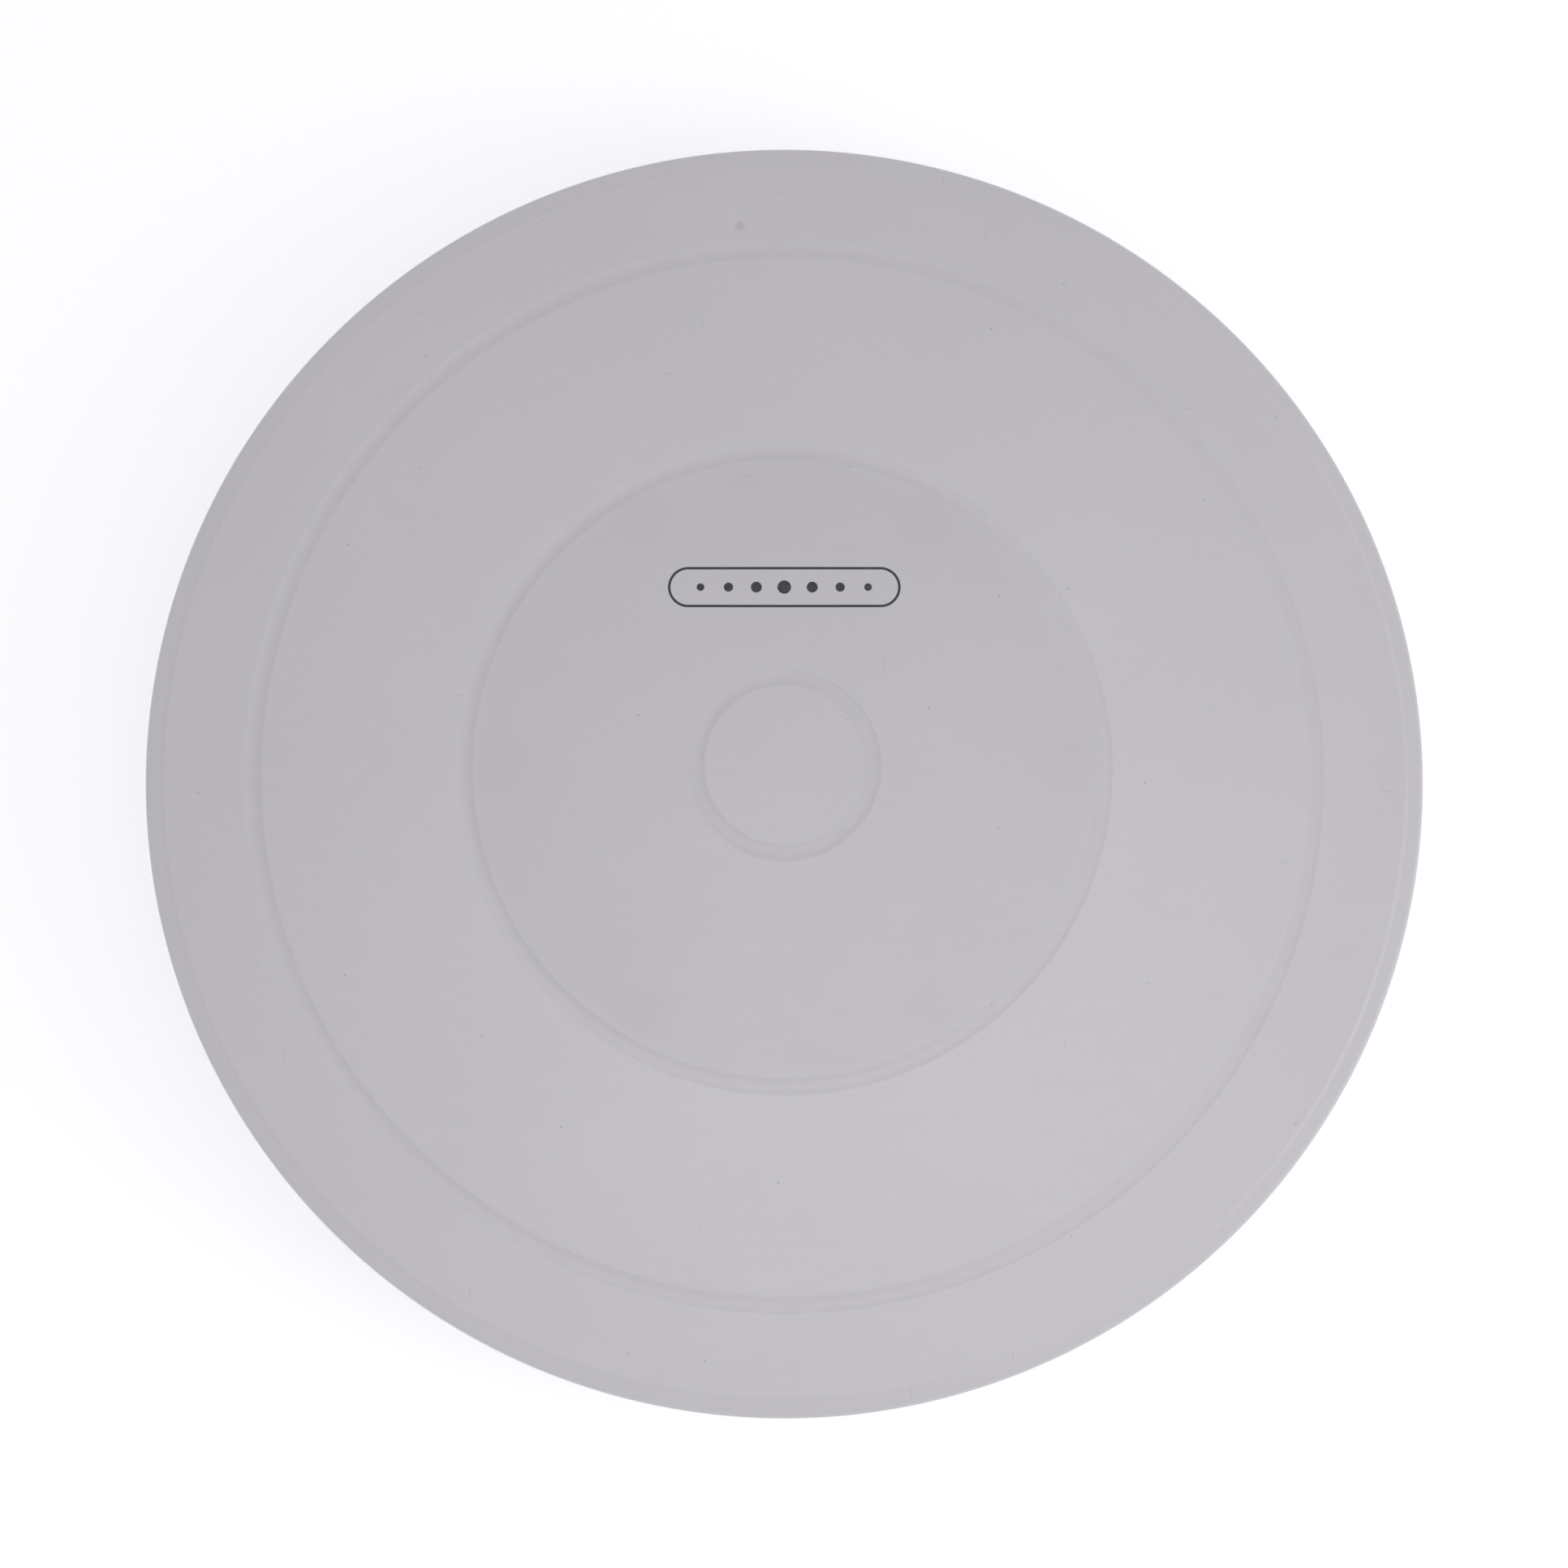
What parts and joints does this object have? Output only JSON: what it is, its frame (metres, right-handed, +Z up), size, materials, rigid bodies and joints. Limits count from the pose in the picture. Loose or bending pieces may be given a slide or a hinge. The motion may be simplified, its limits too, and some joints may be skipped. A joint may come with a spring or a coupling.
{
  "type": "lazy susan turntable",
  "caption": "Low round turntable: a pale plastic plate with shallow guide grooves turns on a caged ball bearing over a flat base with rubber feet.",
  "frame": {"origin": "on the axis of rotation, at the level of the table that the feet stand on", "axes": "+Z up along the axis of rotation; +X and +Y lie in the table, and a plate screw lies on +X"},
  "size_m": [0.3, 0.3, 0.0305],
  "materials": {
    "plate_plastic": "satin",
    "housing_plastic": "matte",
    "zinc_steel": "zinc plated",
    "race_steel": "pressed",
    "ball_steel": "polished",
    "cage_plastic": "matte",
    "bearing_plastic": "matte",
    "foot_rubber": "matte",
    "print_ink": "matte"
  },
  "bodies": {
    "base": {"base": "housing_plastic", "lower_race": "race_steel", "pivot_bush": "bearing_plastic", "hub_cap": "housing_plastic", "foot_01": "foot_rubber", "foot_02": "foot_rubber", "foot_03": "foot_rubber", "foot_04": "foot_rubber", "foot_05": "foot_rubber", "foot_06": "foot_rubber"},
    "cage": {"ball_cage": "cage_plastic", "ball_01": "ball_steel", "ball_02": "ball_steel", "ball_03": "ball_steel", "ball_04": "ball_steel", "ball_05": "ball_steel", "ball_06": "ball_steel", "ball_07": "ball_steel", "ball_08": "ball_steel", "ball_09": "ball_steel", "ball_10": "ball_steel", "ball_11": "ball_steel", "ball_12": "ball_steel", "ball_13": "ball_steel", "ball_14": "ball_steel", "ball_15": "ball_steel", "ball_16": "ball_steel"},
    "turntable": {"turntable_plate": "plate_plastic", "bearing_housing": "housing_plastic", "plate_screws": "zinc_steel", "upper_race": "race_steel", "pivot_bolt": "zinc_steel", "thrust_washer": "bearing_plastic", "lock_nut": "zinc_steel"}
  },
  "joints": [
    {"name": "turntable_spin", "type": "hinge", "parent": "base", "child": "turntable", "pos_m": [0, 0, 0], "axis": [0, 0, 1], "continuous": true},
    {"name": "cage_orbit", "type": "hinge", "parent": "base", "child": "cage", "pos_m": [0, 0, 0], "axis": [0, 0, 1], "continuous": true}
  ],
  "couplings": [
    {"joint": "cage_orbit", "follows": "turntable_spin", "ratio": 0.5}
  ]
}
